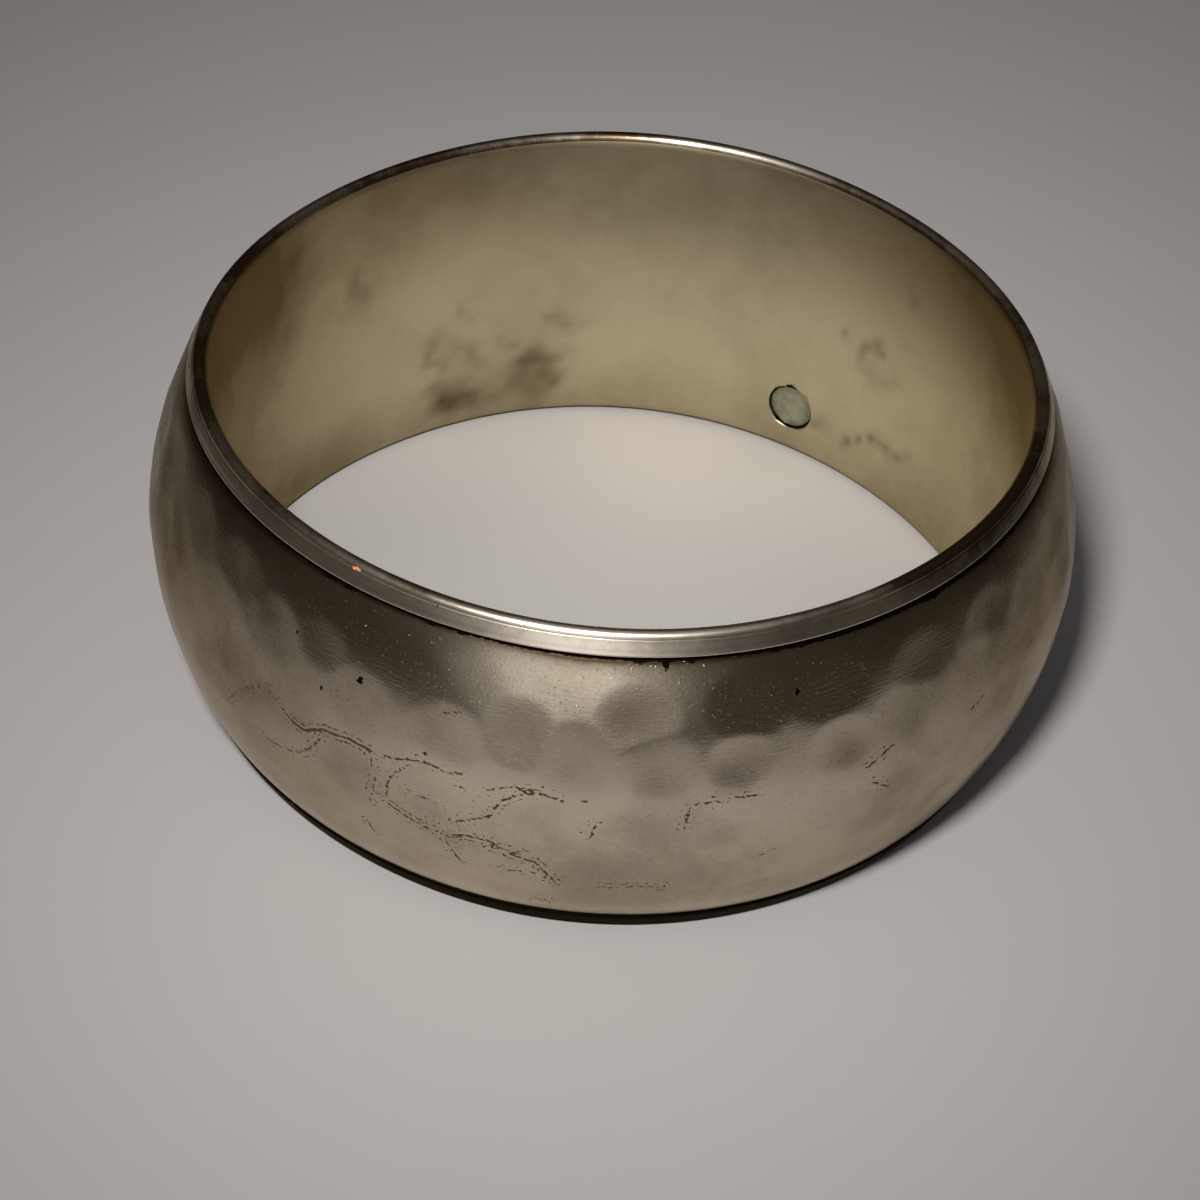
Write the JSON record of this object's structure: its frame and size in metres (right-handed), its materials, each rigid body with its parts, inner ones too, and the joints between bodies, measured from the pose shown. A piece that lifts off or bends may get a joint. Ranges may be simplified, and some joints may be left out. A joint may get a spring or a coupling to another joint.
{
  "type": "bangle",
  "caption": "Wide hollow bangle: a domed shell of hammered silver closed by a straight lining with rolled collars.",
  "frame": {"origin": "the middle of the lower collar's resting face, on the ring's axis", "axes": "+Z along the ring's axis, up from the surface that the bangle lies on; -Y towards the side with the marked hammer blows"},
  "size_m": [0.0746, 0.0745, 0.0293],
  "materials": {
    "hammered_silver": "old silver sheet, hammered, worn to a soft shine, with brown tarnish in the hollows",
    "tarnished_silver": "silver sheet with a dull yellow-grey tarnish, burnished on the collars",
    "solder_silver": "matt grey-green tarnished solder"
  },
  "bodies": {
    "root": {"hammered_shell": "hammered_silver", "lining_sleeve": "tarnished_silver", "vent_plug": "solder_silver"}
  },
  "joints": []
}
